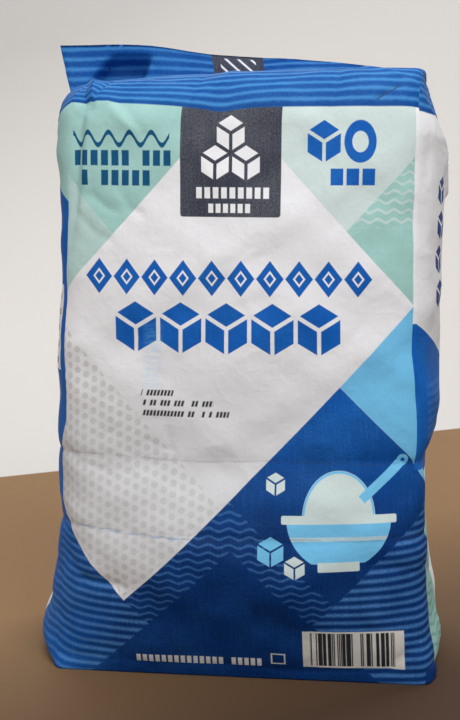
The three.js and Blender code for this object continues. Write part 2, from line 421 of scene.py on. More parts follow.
def closed_end(ring, points, first, lift):
    """A closed end of the bag inside a ring of point numbers: the grid of its numbers and its new points."""
    front, side = FRONT_COLUMNS, SIDE_COLUMNS
    rim = (
        ring[:front + 1],
        ring[front:front + side + 1],
        ring[front + side:2 * front + side + 1][::-1],
        np.append(ring[2 * front + side:], ring[0])[::-1],
    )
    inner = cap(*(points[part] for part in rim))
    off_sides = np.minimum(np.arange(side + 1), np.arange(side + 1)[::-1])
    off_ends = np.minimum(np.arange(front + 1), np.arange(front + 1)[::-1])
    inner[..., 2] += lift * np.clip(np.minimum.outer(off_sides, off_ends) / 3, 0, 1)
    inside = inner[1:-1, 1:-1].reshape(-1, 3)
    numbers = np.zeros((side + 1, front + 1), int)
    numbers[0], numbers[-1], numbers[:, -1], numbers[:, 0] = rim[0], rim[2], rim[1], rim[3]
    numbers[1:-1, 1:-1] = first + np.arange(len(inside)).reshape(side - 1, front - 1)
    return numbers, inside


def panel_edges(columns, width):
    """How far from a panel's middle the edges of its columns are."""
    return (np.arange(columns + 1) / columns - 0.5) * width


def bag_mesh(settings):
    """The bag as one closed surface: points, faces, and the faces' places on the paper and panels."""
    rows = paper_rows()
    points = body_points(rows, settings)
    count = points.shape[1]
    points = points.reshape(-1, 3)
    number = np.arange(len(points)).reshape(len(rows), count)
    walls = cells(np.column_stack([number, number[:, 0]]))
    edges = [panel_edges(columns, width) for columns, width in zip(COLUMNS, PANEL_WIDTHS)]
    near = np.concatenate([edge[:-1] for edge in edges])
    far = np.concatenate([edge[1:] for edge in edges])
    low, high = rows[:-1, None], rows[1:, None]
    wall_places = on_paper(np.stack([near, far, far, near], -1), np.stack([low, low, high, high], -1))
    faces = walls.tolist()
    places = [wall_places.reshape(-1, 4, 2)]
    panels = [np.tile(np.repeat(range(4), COLUMNS), len(rows) - 1)]
    vertices = [points]
    across, deep = edges[FRONT], edges[RIGHT][:, None]
    ends = (
        (number[0], 1.4, deep, BASE, (0, 3, 2, 1)),
        (number[-1], 0, rows[-1] + 0.02 * deep, FRONT, (0, 1, 2, 3)),
    )
    for ring, lift, up, panel, order in ends:
        numbers, inside = closed_end(ring, points, sum(map(len, vertices)), lift)
        vertices.append(inside)
        quads = cells(numbers)[:, order]
        faces += quads.tolist()
        places.append(cells(on_paper(across, up))[:, order])
        panels.append(np.full(len(quads), panel))
    return np.concatenate(vertices), faces, np.concatenate(places), np.concatenate(panels)


# Nodes

def feed(node, inputs):
    """Gives a node's inputs, by name or in their order, values or the sockets and fields that feed them."""
    for name, value in inputs.items() if isinstance(inputs, dict) else enumerate(inputs):
        if isinstance(value, Field):
            value = value.socket
        if isinstance(value, bpy.types.NodeSocket):
            node.id_data.links.new(value, node.inputs[name])
        else:
            node.inputs[name].default_value = value


def add_node(tree, kind, inputs=(), **settings):
    node = tree.nodes.new(kind)
    for name, value in settings.items():
        setattr(node, name, value)
    feed(node, inputs)
    return node


def new_group(name, inputs, outputs, kind="ShaderNodeTree"):
    """An empty node group and its sockets, each a name, a kind and maybe a default; returns its end nodes."""
    tree = bpy.data.node_groups.new(name, kind)
    for way, sockets in (("INPUT", inputs), ("OUTPUT", outputs)):
        for label, socket_kind, *default in sockets:
            socket = tree.interface.new_socket(label, in_out=way, socket_type="NodeSocket" + socket_kind)
            if default:
                socket.default_value = default[0]
    return tree.nodes.new("NodeGroupInput"), tree.nodes.new("NodeGroupOutput")


def math_step(operation):
    """A field's method that works it out with other fields or numbers in one Math node."""
    return lambda field, *others: field.join(operation, *others)


class Field:
    """A number worked out at each point of the paper; a shape is how far inside it a point is, in mm."""

    def __init__(self, socket):
        self.socket = socket
        self.tree = socket.id_data

    def join(self, operation, *others, use_clamp=False):
        inputs = (self, *others)
        node = add_node(self.tree, "ShaderNodeMath", inputs, operation=operation, use_clamp=use_clamp)
        return Field(node.outputs[0])

    __add__ = __radd__ = math_step("ADD")
    __sub__ = math_step("SUBTRACT")
    __mul__ = __rmul__ = math_step("MULTIPLY")
    __truediv__ = math_step("DIVIDE")
    __abs__ = math_step("ABSOLUTE")
    __and__ = math_step("MINIMUM")
    __or__ = math_step("MAXIMUM")
    power = math_step("POWER")
    exponent = math_step("EXPONENT")
    sine = math_step("SINE")
    root = math_step("SQRT")
    floor = math_step("FLOOR")

    def __rsub__(self, other):
        return self.join("MULTIPLY_ADD", -1, other)

    def __neg__(self):
        return self * -1

    def off_line(self, pitch):
        """Distance to the nearest of a set of lines, one every pitch."""
        return self.join("PINGPONG", pitch * 0.5)

    def repeat(self, pitch):
        """The place within one pitch, from minus half a pitch to half a pitch."""
        return self.join("WRAP", pitch / 2, -pitch / 2)

    def cover(self, softness=0.3):
        """From 0 outside a shape to 1 inside it, with a soft edge."""
        return self.join("MULTIPLY_ADD", 1 / softness, 0.5, use_clamp=True)


def noise_field(vector, scale, stretch=(1, 1, 1), detail=2.0, roughness=0.5):
    """Noise from 0 to 1 over places in mm, with about scale lumps a mm."""
    placed = add_node(vector.id_data, "ShaderNodeMapping", {"Vector": vector, "Scale": stretch})
    inputs = {"Vector": placed.outputs[0], "Scale": scale, "Detail": detail, "Roughness": roughness}
    return Field(add_node(vector.id_data, "ShaderNodeTexNoise", inputs).outputs[0])


def separate(vector):
    node = add_node(vector.id_data, "ShaderNodeSeparateXYZ", (vector,))
    return Field(node.outputs[0]), Field(node.outputs[1])


def scaled(colour, factor):
    return tuple(min(1, factor * channel) for channel in colour)


def tint(share, under, over):
    """Colour that goes from under to over with share."""
    under, over = (
        colour if isinstance(colour, bpy.types.NodeSocket) else (*colour, 1) for colour in (under, over))
    return add_node(share.tree, "ShaderNodeMix", {0: share, 6: under, 7: over}, data_type="RGBA").outputs[2]


# Geometry Nodes: fine crumple of the paper along its own normals, and the materials of the panels

def crumple_tree(materials):
    given, made = new_group(
        "paper crumple",
        [("Paper", "Geometry"), ("Depth", "Float", 0.0003), ("Size", "Float", 0.012), ("Seed", "Int", 4)],
        [("Paper", "Geometry")],
        "GeometryNodeTree")
    tree = made.id_data
    for item in tree.interface.items_tree:
        if item.name in ("Depth", "Size"):
            item.subtype = "DISTANCE"
    depth = Field(given.outputs["Depth"])
    often = Field(add_node(tree, "ShaderNodeMath", (1, given.outputs["Size"]), operation="DIVIDE").outputs[0])

    def facets(times, share):
        inputs = {"W": given.outputs["Seed"], "Scale": often * times, "Detail": 1.5, "Roughness": 0.4}
        noise = add_node(tree, "ShaderNodeTexNoise", inputs, noise_dimensions="4D")
        return abs(Field(noise.outputs[0]) - 0.5) * (-4 * share)

    give = add_node(tree, "GeometryNodeInputNamedAttribute", {"Name": "give"}, data_type="FLOAT")
    push = (facets(1.0, 0.6) + facets(2.7, 0.4)) * depth * Field(give.outputs["Attribute"])
    normal = add_node(tree, "GeometryNodeInputNormal")
    offset = add_node(tree, "ShaderNodeVectorMath", {0: normal.outputs[0], "Scale": push}, operation="SCALE")
    moved = add_node(
        tree, "GeometryNodeSetPosition", {"Geometry": given.outputs["Paper"], "Offset": offset.outputs[0]})
    last = add_node(tree, "GeometryNodeRealizeInstances", (moved.outputs[0],)).outputs[0]
    panel = add_node(tree, "GeometryNodeInputNamedAttribute", {"Name": "panel"}, data_type="INT")
    for number, material in enumerate(materials):
        same = add_node(
            tree, "FunctionNodeCompare", {"A": panel.outputs["Attribute"], "B": number},
            data_type="INT", operation="EQUAL")
        inputs = {"Geometry": last, "Selection": same.outputs[0], "Material": material}
        last = add_node(tree, "GeometryNodeSetMaterial", inputs).outputs[0]
    feed(made, (last,))
    return tree


def settle(piece):
    """Turns a piece and its modifiers into a plain mesh."""
    graph = bpy.context.evaluated_depsgraph_get()
    made = bpy.data.meshes.new_from_object(
        piece.evaluated_get(graph), preserve_all_data_layers=True, depsgraph=graph)
    piece.modifiers.clear()
    plain = piece.data
    piece.data = made
    bpy.data.meshes.remove(plain)


# Shapes of the print

def distance(across, up):
    return (across * across + up * up).root()


def rectangle(u, v, left, right, low, high, rounding=0):
    across = (right - left) / 2 - abs(u - (left + right) / 2)
    level = (high - low) / 2 - abs(v - (low + high) / 2)
    if rounding:
        return across.join("SMOOTH_MIN", level, rounding)
    return across & level


def disc(u, v, middle, radius, squash=1):
    return radius - distance(u - middle[0], (v - middle[1]) * squash)


def rhombus(u, v, middle, half_width, half_height):
    leaning = abs(u - middle[0]) / half_width + abs(v - middle[1]) / half_height
    return (1 - leaning) * (half_width * half_height / math.hypot(half_width, half_height))


def bar(u, v, start, end, width):
    """A straight bar from start to end with square ends."""
    length = math.dist(start, end)
    heading = ((end[0] - start[0]) / length, (end[1] - start[1]) / length)
    across = (u - start[0]) * heading[0] + (v - start[1]) * heading[1]
    aside = (u - start[0]) * heading[1] - (v - start[1]) * heading[0]
    return (length / 2 - abs(across - length / 2)) & (width / 2 - abs(aside))


def cube_outline(u, v, middle, radius, gap):
    """A cube seen from its corner: a hexagon with three grooves that meet in its middle."""
    across = abs(u - middle[0])
    up = v - middle[1]
    hexagon = radius * 0.866 - (across | (across * 0.5 + abs(up) * 0.866))
    down_arm = across | up
    upper_arm = abs(across * 0.5 - up * 0.866) | -(across * 0.866 + up * 0.5)
    return hexagon & ((down_arm & upper_arm) - gap / 2)


def fibre_group():
    """Paper fibres, faint linen streaks and unevenness: a height for bumps, a tone and flecks for inks."""
    given, made = new_group(
        "paper fibre", [("Place", "Vector")], [("Height", "Float"), ("Tone", "Float"), ("Fleck", "Float")])
    place = given.outputs["Place"]
    fibre = noise_field(place, 1.6, detail=3, roughness=0.6)
    upright = noise_field(place, 1.0, stretch=(1.1, 0.06, 1))
    level = noise_field(place, 1.0, stretch=(0.05, 1.0, 1), detail=1)
    crumple = abs(noise_field(place, 0.11, detail=3) - 0.5)
    lumps = noise_field(place, 0.045, detail=1)
    height = fibre * 0.25 + upright * 0.14 + level * 0.06 - crumple * 2.2 + lumps
    tone = upright * 0.3 + level * 0.1 + lumps * 0.6
    speck = noise_field(place, 1.7, stretch=(1, 0.55, 1), roughness=0.7)
    patch = noise_field(place, 0.035)
    fleck = (speck + patch * 0.5 + upright * 0.25 - 0.93).cover(0.3)
    feed(made, (height, tone, fleck))
    return made.id_data


def stripes_group():
    """Level stripes: pale over dark, with uneven edges."""
    given, made = new_group(
        "blue stripes",
        [("Place", "Vector"), ("Dark", "Color"), ("Pale", "Color"), ("Pitch", "Float", 4.7)],
        [("Colour", "Color")])
    place = given.outputs["Place"]
    _, v = separate(place)
    rough = noise_field(place, 0.9, stretch=(0.35, 1, 1))
    slow = noise_field(place, 0.05, detail=1)
    line = (0.85 - v.off_line(Field(given.outputs["Pitch"])) + (rough - 0.5) + (slow - 0.5) * 0.9).cover(1.3)
    feed(made, (tint(line * 0.85, given.outputs["Dark"], given.outputs["Pale"]),))
    return made.id_data


def waves_group():
    """Level wavy lines, given as how far inside a line a place is."""
    given, made = new_group(
        "wavy lines",
        [("Place", "Vector"), ("Pitch", "Float", 4.1), ("Wavelength", "Float", 10), ("Swing", "Float", 0.9),
         ("Thickness", "Float", 1.2)],
        [("Inside", "Float")])
    u, v = separate(given.outputs["Place"])
    pitch, wavelength, swing, thickness = (Field(given.outputs[i]) for i in range(1, 5))
    turn = u * (2 * math.pi) / wavelength
    line = (v + turn.sine() * swing).off_line(pitch)
    feed(made, (thickness * 0.5 - line,))
    return made.id_data


class Artwork:
    """One panel's print: shapes laid one over the other from the paper up."""

    def __init__(self, name, inks, groups):
        given, self.made = new_group(name, [("Place", "Vector")], [("Colour", "Color")])
        self.tree = self.made.id_data
        self.inks = inks
        self.groups = groups
        self.place = given.outputs["Place"]
        self.u, self.v = separate(self.place)
        fibre = self.use("fibre", self.place)
        self.tone = Field(fibre.outputs["Tone"])
        self.fleck = Field(fibre.outputs["Fleck"])
        self.colour = tint((self.tone - 0.5) * 2 + 0.5, scaled(inks.paper, 0.93), inks.paper)

    def use(self, name, place, **values):
        """A shared group at a place, with the values of its other inputs."""
        inputs = {"Place": place, **values}
        return add_node(self.tree, "ShaderNodeGroup", inputs, node_tree=self.groups[name])

    def at(self, across, up):
        """A place made of two fields."""
        return add_node(self.tree, "ShaderNodeCombineXYZ", (across, up)).outputs[0]

    def lay(self, shape, colour, softness=0.3, strength=None):
        cover = shape.cover(softness)
        if strength is not None:
            cover = cover * strength
        self.colour = tint(cover, self.colour, colour)

    def worn(self, colour, fleck=0.3, swing=0.2, pale=None):
        """Ink with pale flecks and a tone that varies."""
        body = tint((self.tone - 0.5) * 2.4 + 0.5, scaled(colour, 1 - swing), scaled(colour, 1 + swing))
        if not fleck:
            return body
        return tint(self.fleck * fleck, body, pale or self.inks.pale_stripe)

    def waves(self, pitch, wavelength, swing, thickness):
        """How far inside a set of level wavy lines a point is."""
        sizes = {"Pitch": pitch, "Wavelength": wavelength, "Swing": swing, "Thickness": thickness}
        return Field(self.use("waves", self.place, **sizes).outputs[0])

    def box(self, left, right, low, high, rounding=0):
        return rectangle(self.u, self.v, left, right, low, high, rounding)

    def cube(self, middle, radius, gap, colour):
        self.lay(cube_outline(self.u, self.v, middle, radius, gap), colour)

    def ticks(self, left, right, low, high, pitch, filled, colour, seed, slant=0.0, softness=0.3):
        """A row of small upright marks with some gaps."""
        u = self.u + (self.v - low) * -slant
        number = (u / pitch).floor()
        chance = add_node(
            self.tree, "ShaderNodeTexWhiteNoise", {"W": number + seed * 17.3}, noise_dimensions="1D")
        there = (Field(chance.outputs["Value"]) - (1 - filled)) * 40
        marks = 0.34 * pitch - abs((u - pitch / 2).repeat(pitch))
        self.lay(rectangle(u, self.v, left, right, low, high) & marks & there, colour, softness)


def printed(name, draw, inks, groups):
    """A print's node group: plain paper with what draw lays on it."""
    art = Artwork(name, inks, groups)
    draw(art)
    feed(art.made, (art.colour,))
    return art.tree


def band(art, edge):
    """The striped blue band over the top of every panel, above a lower edge."""
    inks = art.inks
    up = art.v - edge
    sway = (noise_field(art.place, 0.025, detail=1) - 0.5) * 2
    closer = 1.11 - (art.u & 60) * 0.0018
    place = art.at(art.u, up * closer + 0.9 + sway)
    stripes = art.use("stripes", place, Dark=(*inks.band, 1), Pale=(*inks.pale_stripe, 1), Pitch=4.7)
    art.lay(up, tint(art.fleck * 0.25, stripes.outputs[0], inks.pale_stripe), 0.35)
    art.lay((1.1 - abs(up - 0.6)) & up, scaled(inks.band, 0.75), 1.2, 0.5)


def colour_fields(art):
    """The large fields of the front and back: a white diamond between mint and blue ones."""
    u, v, inks = art.u, art.v, art.inks
    slope = math.sqrt(0.5)
    rising, falling = u + v, v - u
    upper_right = (rising - 273.5) * slope
    upper_left = (falling - 280) * slope
    lower_right = (95.5 - falling) * slope
    lower_left = (-15 - rising) * slope
    mint = art.worn(inks.mint, 0.0, 0.07)
    pale = art.worn(inks.pale_mint, 0.0, 0.04)
    mint_lines = art.waves(4.3, 8.0, 0.8, 1.15)
    art.lay(upper_right, pale)
    corner = upper_right & ((164 - falling) * slope)
    art.lay(corner, mint)
    art.lay(corner & (v - 220.5) & mint_lines, inks.pale_mint, 0.7, 0.75)
    art.lay(upper_left, mint)
    left_corner = upper_left & ((153.5 - rising) * slope)
    art.lay(left_corner, pale)
    art.lay(left_corner, mint, 0.3, 0.55)
    white = (273.5 - rising) & (280 - falling) & (falling - 95.5) & (rising + 15)
    dotted = (white & (84 - rising)) * slope
    dot_column = (u / 4.7).floor()
    dot_v = (v + dot_column * 1.9).repeat(5.1)
    dot_u = (u - 2.35).repeat(4.7)
    dot = 1.6 - distance(dot_u, dot_v)
    art.lay(dot & (dotted - 1.5), art.worn(inks.dot, 0, 0.05), 0.7)
    art.lay((0.35 - abs(dot - 0.55)) & (dotted - 1.5), scaled(inks.dot, 0.9), 0.6, 0.5)
    # Painted shade: the white and its dots are darkened over the lower part, most between 68 and 111 mm up
    painted_shade = (136 - v).cover(50) * (v - 56).cover(24) * 0.5
    art.lay(white, scaled(inks.paper, 0.6), 0.3, painted_shade)
    blue = art.worn(inks.field, 0.3, 0.2)
    # Painted shade: the blue field turns darker towards the foot, less so near the fields' left edge
    deep = art.worn(inks.shaded_field, 0.1, 0.25)
    blue = tint((112 - v).cover(70) * (u + 86).cover(60), blue, deep)
    art.lay(lower_right & ((rising - 198) * slope), art.worn(inks.light_blue, 0.1, 0.06))
    field = (lower_right & ((198 - rising) * slope)) | lower_left
    art.lay(field, blue)
    square = (rising - 90) & (falling + 5)
    inner = (72 - falling) & (68.5 - rising)
    patterned = (field & (-square)) & (-inner)
    bent = (((u | -96) + 91) / -12).exponent() * 3 + (((u & 96) - 91) / 14).exponent() * 2
    level = v - bent * (84 - v).cover(40)
    sway = (noise_field(art.place, 0.03, detail=1) - 0.5) * 1.6
    wave_zone = patterned & (rising + 14.5) & (falling + 5)
    line_ink = art.worn(inks.field_line, 0.0, 0.12)
    fading = art.fleck * 0.5 + 0.5
    art.lay(wave_zone & art.waves(3.8, 9.9, 0.75, 1.0), line_ink, 0.9, fading * 0.7)
    straight = 0.85 - (level + sway + 0.6).off_line(4.25)
    straight_zone = patterned & ((-14.5 - rising) | (-5 - falling))
    art.lay(straight_zone & straight, line_ink, 1.2, fading)


def white_field_shapes(art):
    """Ten open rhombs, five cubes and three short rows of ticks across the white field."""
    u, v, inks = art.u, art.v, art.inks
    blue = art.worn(inks.lettering, 0.18, 0.12)
    place = (u + 12.3).repeat(14.6)
    limits = art.box(-78, 68, 188, 206)
    rhomb = rhombus(place, v, (0, 197), 6.9, 8.3)
    art.lay(limits & rhomb & (2.9 - rhomb), blue)
    art.lay(limits & rhombus(place, v, (0, 197), 2.0, 2.4), blue)
    cubes = cube_outline((u + 5).repeat(23.2), v, (0, 173.5), 12.2, 2.0)
    art.lay(art.box(-63.2, 53.2, 158, 190) & cubes, blue)
    for left, right, low, seed in ((-48, -32, 141.3, 5), (-48, -12, 136.5, 6), (-48.5, -4, 131.5, 7)):
        art.ticks(left, right, low, low + 2.7, 1.75, 0.78, inks.black, seed, 0.25, 0.5)


def corner_shapes(art):
    """A wave and two rows of blocks at the upper left, a cube, a ring and blocks at the upper right."""
    u, v, inks = art.u, art.v, art.inks
    teal = art.worn(inks.teal, 0.1, 0.1)
    wave = ((u + 2) * (2 * math.pi / 11)).sine() * 2.9
    art.lay((1.15 - abs(v - 260 - wave)) & art.box(-87, -34, 250, 266), teal)
    for left, right, low, seed in ((-86.4, -32.4, 247.8, 1), (-81, -43.2, 238.8, 2)):
        art.ticks(left, right, low, low + 7, 5.4, 0.9, teal, seed)
    blue = art.worn(inks.lettering, 0.18, 0.12)
    art.cube((43, 259), 9.4, 1.7, blue)
    ring = disc(u, v, (60.8, 259), 7.9, 0.84)
    art.lay(ring & (3.9 - ring), blue)
    art.lay(art.box(46, 68.5, 239.5, 247) & (3.1 - abs((u - 49.5).repeat(7.8))), blue)


def dark_block(art):
    """A dark block with a stack of cubes and two rows of marks."""
    white = art.inks.paper
    art.lay(art.box(-28.5, 22, 225, 300, 2.5), art.worn(art.inks.navy, 0.12, 0.12, art.inks.dot))
    for middle in ((-3.2, 262.6), (-10.9, 249.3), (4.5, 249.3)):
        art.cube(middle, 7.9, 1.7, white)
    art.ticks(-21, 16.8, 233.4, 238.4, 4.2, 0.95, white, 3)
    art.ticks(-14.8, 7.4, 226.9, 231, 3.7, 1.0, white, 4)


def sugar_bowl(art):
    """A bowl heaped with sugar, a spoon and loose cubes."""
    u, v, inks = art.u, art.v, art.inks
    light = art.worn(inks.light_blue, 0.08, 0.05)
    pale = art.worn(inks.pale_mint, 0.0, 0.04)
    heap = disc(u, v, (50, 86), 17.5, 0.82) & (v - 85)
    art.lay(heap, pale)
    art.lay((0.5 - abs(heap - 0.6)) & (v - 85.5), light, 0.4)
    art.lay(bar(u, v, (61, 94), (80.5, 111.5), 4.4), light)
    art.lay(disc(u, v, (81, 112), 2.8), light)
    art.lay(disc(u, v, (81, 112), 1.0), inks.field)
    bowl = disc(u, v, (50, 86), 25) & (85 - v) & (v - 64.5)
    art.lay(bowl, light)
    art.lay(art.box(22.5, 77.5, 83, 87, 1.5), pale)
    art.lay(art.box(40, 60, 60.5, 65.2, 1.0), pale)
    art.lay(bowl & (1.0 - abs(v - 76)), pale, 0.4, 0.7)
    for middle, size, colour in (((17.5, 70), 7.2, light), ((29, 62.5), 5.6, pale), ((19.5, 101), 5.2, pale)):
        art.cube(middle, size, 0.9, colour)


def foot_marks(art):
    """Small white marks, an empty square and a pale block of bars."""
    inks = art.inks
    art.ticks(-49.6, 12.4, 7.4, 11.9, 3.1, 0.86, inks.dot, 8)
    square = art.box(16.5, 23.5, 9, 15.5)
    art.lay(square & (0.7 - square), inks.dot, 0.4)
    art.lay(art.box(32, 80.5, 8, 28.5), art.worn(inks.label, 0, 0.04))
    art.ticks(35.5, 76, 9, 27.6, 0.85, 0.55, inks.black, 9)
    art.ticks(36, 75, 9, 27.6, 2.3, 0.5, inks.black, 10)


def wear_and_painted_highlight(art):
    """Thin lines along the sharp creases, two dark and one pale blue, blue rubbed off on the white, and a
    painted highlight at the fin's foot.
    """
    u, v, inks = art.u, art.v, art.inks
    rub = noise_field(art.place, 0.3, stretch=(0.4, 1.6, 1), detail=3)
    wander = (u * 0.07).sine() * 0.7
    for level in (110.8, 75.4):
        art.lay((0.45 - abs(v - level - wander)) & ((rub - 0.44) * 6), inks.navy, 0.6, 0.2)
    rub = noise_field(art.place, 0.5, stretch=(0.5, 1.4, 1), detail=3)
    crease_line = (0.55 - abs(v - 73.6 + u * 0.03)) & art.box(-80, -24, 60, 90)
    art.lay(crease_line & ((rub - 0.5) * 6), inks.pale_stripe, 0.8, 0.4)
    smudge = art.box(-46, -39, 146, 174) * 0.3
    art.lay(smudge & ((rub - 0.52) * 4), inks.light_blue, 1.4, 0.3)
    # Painted highlight: a small pale glint at the foot of the fin
    art.lay(bar(u, v, (-72, 299), (-67, 302), 1.2), inks.paper, 0.5, 0.8)


def front_print(art):
    """The front, from its left edge at minus 91 to its right edge at 91."""
    u, v, inks = art.u, art.v, art.inks
    art.colour = art.use("fields", art.place).outputs[0]
    white_field_shapes(art)
    corner_shapes(art)
    dark_block(art)
    sugar_bowl(art)
    foot_marks(art)
    # The side's paper shows round the right corner
    strip = u - 88.7
    art.lay(strip & (v - 176), art.worn(inks.paper, 0, 0.02))
    art.lay(strip & (176 - v) & (v - 106), art.worn(inks.field, 0.2, 0.15))
    wear_and_painted_highlight(art)
    # The band with a dark line along its crease at the right, and the dark block on the fin
    lift = ((-10 - u) / 76 | 0).power(1.3) * 6.5
    off_middle = (u + 9) / 9
    dip = (off_middle * off_middle + 1).power(-1) * 2.2
    band(art, lift + 274.3 - dip)
    art.lay(art.box(-14, 12, ROOF_PAPER - 4, 360), art.worn(inks.navy, 0.12, 0.12, inks.dot))
    art.lay(art.box(-10, 8, 336, 350) & (0.8 - abs((u + v * 0.8).off_line(6.5))), inks.paper)
    art.lay(bar(u, v, (68, 277.5), (78.5, 284), 0.7), inks.navy, 0.5, 0.8)


def right_print(art):
    """Right side, from its front edge at minus 46 to its back edge at 46."""
    u, v, inks = art.u, art.v, art.inks
    blue = art.worn(inks.field, 0.3, 0.2)
    mint = art.worn(inks.mint, 0, 0.07)
    slanting = 176 - (u + 46) * 0.56 - v
    art.lay(slanting & (v - 104), blue)
    art.lay((100 - v) & ((-6 - u) | (v - 66)), mint)
    waves = (46 - v) & (v - 13) & (-8 - u) & art.waves(5.2, 16, 1.2, 1.7)
    art.lay(waves, art.worn(inks.deep_mint, 0, 0.1), 0.8)
    cubes = cube_outline(u, (v - 2).repeat(17), (-22, 0), 7.4, 1.4)
    art.lay(cubes & art.box(-34, -10, 182, 250), art.worn(inks.navy_blue, 0.1, 0.1))
    for right, low, seed in ((40, 200, 21), (40, 194, 22), (34, 188, 23)):
        art.ticks(2, right, low, low + 3, 2.1, 0.8, inks.navy, seed)
    art.lay(rhombus(u, v, (20, 228), 15, 15), art.worn(inks.light_blue, 0.1, 0.06))
    art.cube((20, 228), 8, 1.2, inks.paper)
    lines = art.box(-40, 40, 120, 148) & (1 - v.off_line(4.05))
    art.lay(lines, art.worn(inks.field_line, 0, 0.1), 1.2, 0.4)
    # The front's print runs round the corner
    turned = (-37 - u) & (106 - v)
    art.lay(turned, art.use("fields", art.at(u + 137, v)).outputs[0])
    band(art, (46 - abs(u)) * 0.05 + 273)


def left_print(art):
    """Left side, from its back edge at minus 46 to its front edge at 46."""
    u, v, inks = art.u, art.v, art.inks
    blue = art.worn(inks.field, 0.3, 0.2)
    mint = art.worn(inks.mint, 0, 0.07)
    slanting = v - 241 + (u - 34) * 0.8
    art.lay((u - 33 + (128 - v).cover(12) * 15) & -slanting, blue)
    art.lay((u - 19) & (v - 52) & (104 - v), blue)
    art.lay((u - 25) & slanting, mint)
    art.lay(14 - v, blue)
    table = art.box(-38, 16, 40, 214)
    rows = 0.5 - (v - 3).off_line(8)
    dark = inks.navy
    art.lay(table & rows, dark)
    art.lay(table & (0.9 - table), dark)
    for step in range(14):
        low = 46.5 + 8 * step
        art.ticks(-34, -6 + (step * 7) % 12, low, low + 3.2, 2.6, 0.85, dark, 31 + step)
        art.ticks(6, 13, low, low + 3.2, 2.6, 0.9, dark, 51 + step)
    art.lay(art.box(-34, 12, 168, 174), dark)
    art.lay(art.box(-34, 12, 182, 206) & (2.0 - (v - 186).off_line(8)), dark)
    art.lay(art.box(19, 41.5, 150, 192), inks.paper)
    for step in range(5):
        art.ticks(22, 39, 153 + 8 * step, 156 + 8 * step, 2.6, 0.8, inks.black, 75 + step)
    # The front's print runs round the corner
    turned = u - 39.5 + (74 - v | 0) * 0.35 + (34 - v | 0) * 0.35 - (v - 112 | 0) * 0.45
    art.lay(turned & (128 - v), art.use("fields", art.at(u - 137, v)).outputs[0])
    band(art, 281.4 - ((46 - u) & 14) * 0.45)


def back_print(art):
    """The back: the front's fields turned over, with cubes and rows of plain marks."""
    u, v, inks = art.u, art.v, art.inks
    art.colour = art.use("fields", art.at(-u, v)).outputs[0]
    blue = art.worn(inks.lettering, 0.18, 0.12)
    navy = art.worn(inks.navy, 0.12, 0.12, inks.dot)
    cubes = cube_outline(u.repeat(23.2), v, (0, 216), 10.6, 1.8)
    art.lay(art.box(-58, 58, 200, 232) & cubes, blue)
    for step in range(7):
        low = 176 - 9 * step
        art.ticks(-52 + 3 * step, 44 - (step * 11) % 17, low, low + 3.6, 2.7, 0.85, navy, 71 + step)
    art.lay(art.box(-28, 22, 244, 300, 2.5), navy)
    art.cube((-3, 258), 9.5, 1.7, inks.paper)
    art.lay(disc(u, v, (-52, 84), 17), art.worn(inks.light_blue, 0.08, 0.05))
    art.cube((-52, 84), 9.5, 1.4, art.worn(inks.pale_mint, 0, 0.04))
    for right, low, seed in ((44, 20, 90), (30, 12, 91)):
        art.ticks(-20, right, low, low + 4.5, 3.1, 0.86, inks.dot, seed)
    band(art, u * 0.01 + 275)


def base_print(art):
    """The base: dark blue paper turned under round the edge, and plain paper inside it."""
    across, deep = FRONT_PAPER / 2 - TURNED_UNDER, SIDE_PAPER / 2 - TURNED_UNDER
    art.lay(-art.box(-across, across, -deep, deep), art.worn(art.inks.field, 0.4, 0.2))


def paper_material(name, artwork, fibre_tree, settings):
    """Printed, lightly glossy paper."""
    material = bpy.data.materials.new(name)
    material.use_nodes = True
    tree = material.node_tree
    paper = add_node(tree, "ShaderNodeUVMap", uv_map="paper")
    millimetres = add_node(
        tree, "ShaderNodeVectorMath", {0: paper.outputs[0], "Scale": MM_IN_A_METRE}, operation="SCALE")
    place = {"Place": millimetres.outputs[0]}
    art = add_node(tree, "ShaderNodeGroup", place, node_tree=artwork)
    fibre = add_node(tree, "ShaderNodeGroup", place, node_tree=fibre_tree)
    bump = add_node(tree, "ShaderNodeBump", {
        "Strength": 0.55, "Distance": settings.fibre_depth, "Height": fibre.outputs["Height"],
    })
    feed(tree.nodes["Principled BSDF"], {
        "Base Color": art.outputs[0],
        "Specular IOR Level": 0.12,
        "Roughness": Field(fibre.outputs["Tone"]) * 0.25 + settings.roughness,
        "Normal": bump.outputs[0],
    })
    return material


# Settings

LENGTH = {"subtype": "DISTANCE", "unit": "LENGTH"}
ANGLE = {"subtype": "ANGLE", "unit": "ROTATION"}
POWER = {"unit": "POWER"}
SHARE = {"subtype": "FACTOR", "min": 0}


def number_property(name, description, default, **kind):
    return bpy.props.FloatProperty(name=name, description=description, default=default, **kind)


def count_property(name, description, default, **limits):
    return bpy.props.IntProperty(name=name, description=description, default=default, **limits)


def colour_property(name, description, red, green, blue):
    default = ink(red, green, blue)
    return bpy.props.FloatVectorProperty(
        name=name, description=description, default=default, size=3, min=0, max=1, subtype="COLOR")


class PaperSettings(bpy.types.PropertyGroup):
    """Creases and finish of the paper."""

    crease_depth: number_property(
        "Crease depth", "How deep the creases are, as a share of the real ones", 1.0, max=2, **SHARE)
    small_creases: count_property("Small creases", "How many small creases there are", 170, min=0, max=600)
    seed: count_property("Seed", "Which set of small creases the paper gets", 11)
    crumple_depth: number_property(
        "Crumple depth", "Depth of the fine crumple", 0.00035, precision=5, **LENGTH)
    crumple_size: number_property("Crumple size", "Size of one facet of the crumple", 0.02, **LENGTH)
    fibre_depth: number_property("Fibre depth", "Depth of the paper's grain", 0.0005, precision=5, **LENGTH)
    roughness: number_property("Roughness", "How dull the printed paper is", 0.45, max=1, **SHARE)


